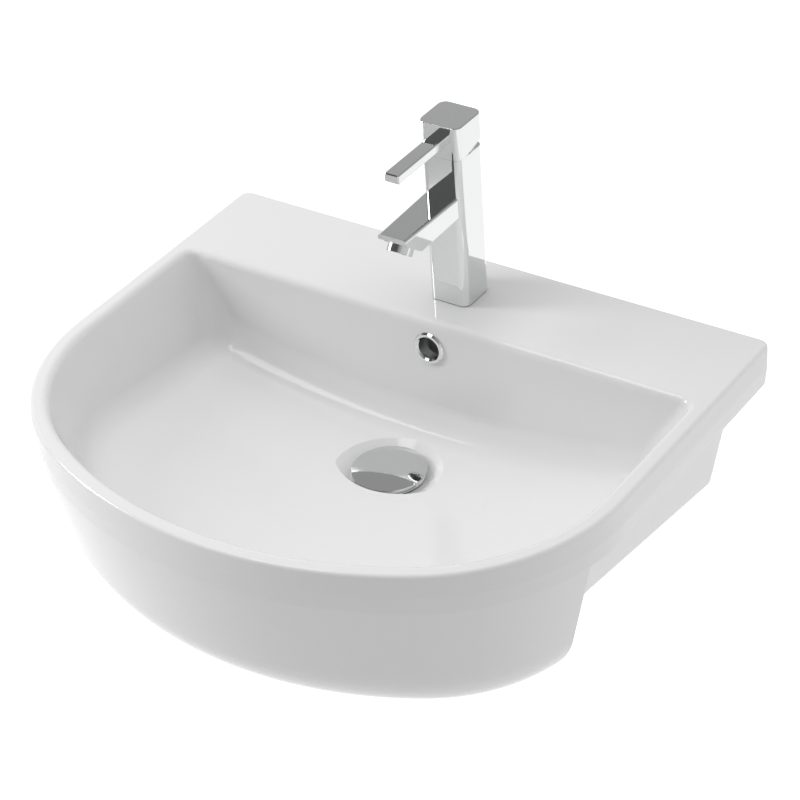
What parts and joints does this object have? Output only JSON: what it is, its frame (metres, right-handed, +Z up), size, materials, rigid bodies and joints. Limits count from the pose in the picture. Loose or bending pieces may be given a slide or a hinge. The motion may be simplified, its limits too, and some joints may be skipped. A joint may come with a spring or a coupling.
{
  "type": "semi recessed basin",
  "caption": "Semi recessed ceramic wash basin with a D-shaped bowl, flat tap deck, square single-lever mixer, overflow ring and click-clack waste.",
  "frame": {"origin": "centre line of the basin where the wall plane meets the top of the worktop, at the back edge of the skirt's underside", "axes": "+Z up; -Y to the front, away from the wall; +Y into the wall; +X to the right as seen from the front"},
  "size_m": [0.526, 0.4424, 0.368],
  "materials": {
    "glazed_ceramic": "white gloss glaze",
    "chrome": "polished chrome plate on brass",
    "brass": "turned brass",
    "steel": "plain stainless steel",
    "rubber": "matt black rubber",
    "plastic_dark": "dark moulded plastic",
    "plastic_white": "white moulded plastic",
    "disc_ceramic": "lapped ceramic"
  },
  "bodies": {
    "basin_fixed": {"basin": "glazed_ceramic", "basin_deck_left": "glazed_ceramic", "basin_tap_ledge": "glazed_ceramic", "basin_deck_right": "glazed_ceramic", "basin_side_left": "glazed_ceramic", "basin_side_right": "glazed_ceramic", "overflow_ring": "chrome", "waste_body": "chrome", "waste_flange_seal": "rubber", "waste_under_seal": "rubber", "waste_washer": "plastic_white", "waste_backnut": "brass", "waste_click_barrel": "brass", "mixer_body": "chrome", "aerator_shell": "chrome", "aerator_seal": "rubber", "aerator_core": "plastic_dark", "mixer_base_seal": "rubber", "fixing_washer_rubber": "rubber", "fixing_washer_metal": "steel", "fixing_stud": "steel", "fixing_nut": "steel", "cartridge_seals": "rubber", "cartridge_base": "plastic_dark", "cartridge_fixed_disc": "disc_ceramic", "cartridge_housing": "plastic_dark", "cartridge_nut": "brass"},
    "mixer_swivel": {"cartridge_rotor": "plastic_dark", "cartridge_stem_pin": "steel"},
    "mixer_disc": {"cartridge_moving_disc": "disc_ceramic", "cartridge_disc_carrier": "plastic_dark"},
    "mixer_handle": {"handle_head": "chrome", "handle_lever": "chrome", "lever_stud": "steel", "handle_grub_screw": "steel", "handle_screw_plug": "chrome", "cartridge_stem": "steel"},
    "waste_plug": {"waste_dome": "chrome", "waste_dome_seal": "rubber", "waste_click_pin": "steel"}
  },
  "joints": [
    {"name": "mixer_turn", "type": "hinge", "parent": "basin_fixed", "child": "mixer_swivel", "pos_m": [0, -0.056, 0.166], "axis": [0, 0, 1], "range_deg": [-50, 50]},
    {"name": "mixer_tilt", "type": "hinge", "parent": "mixer_swivel", "child": "mixer_handle", "pos_m": [0, -0.056, 0.166], "axis": [-1, 0, 0], "range_deg": [0, 20]},
    {"name": "mixer_disc_slide", "type": "slide", "parent": "mixer_swivel", "child": "mixer_disc", "axis": [0, -1, 0], "range_m": [0, 0.0019]},
    {"name": "waste_click", "type": "slide", "parent": "basin_fixed", "child": "waste_plug", "axis": [0, 0, 1], "range_m": [0, 0.008]}
  ],
  "couplings": [
    {"joint": "mixer_disc_slide", "follows": "mixer_tilt", "m_per_rad": 0.0053}
  ]
}
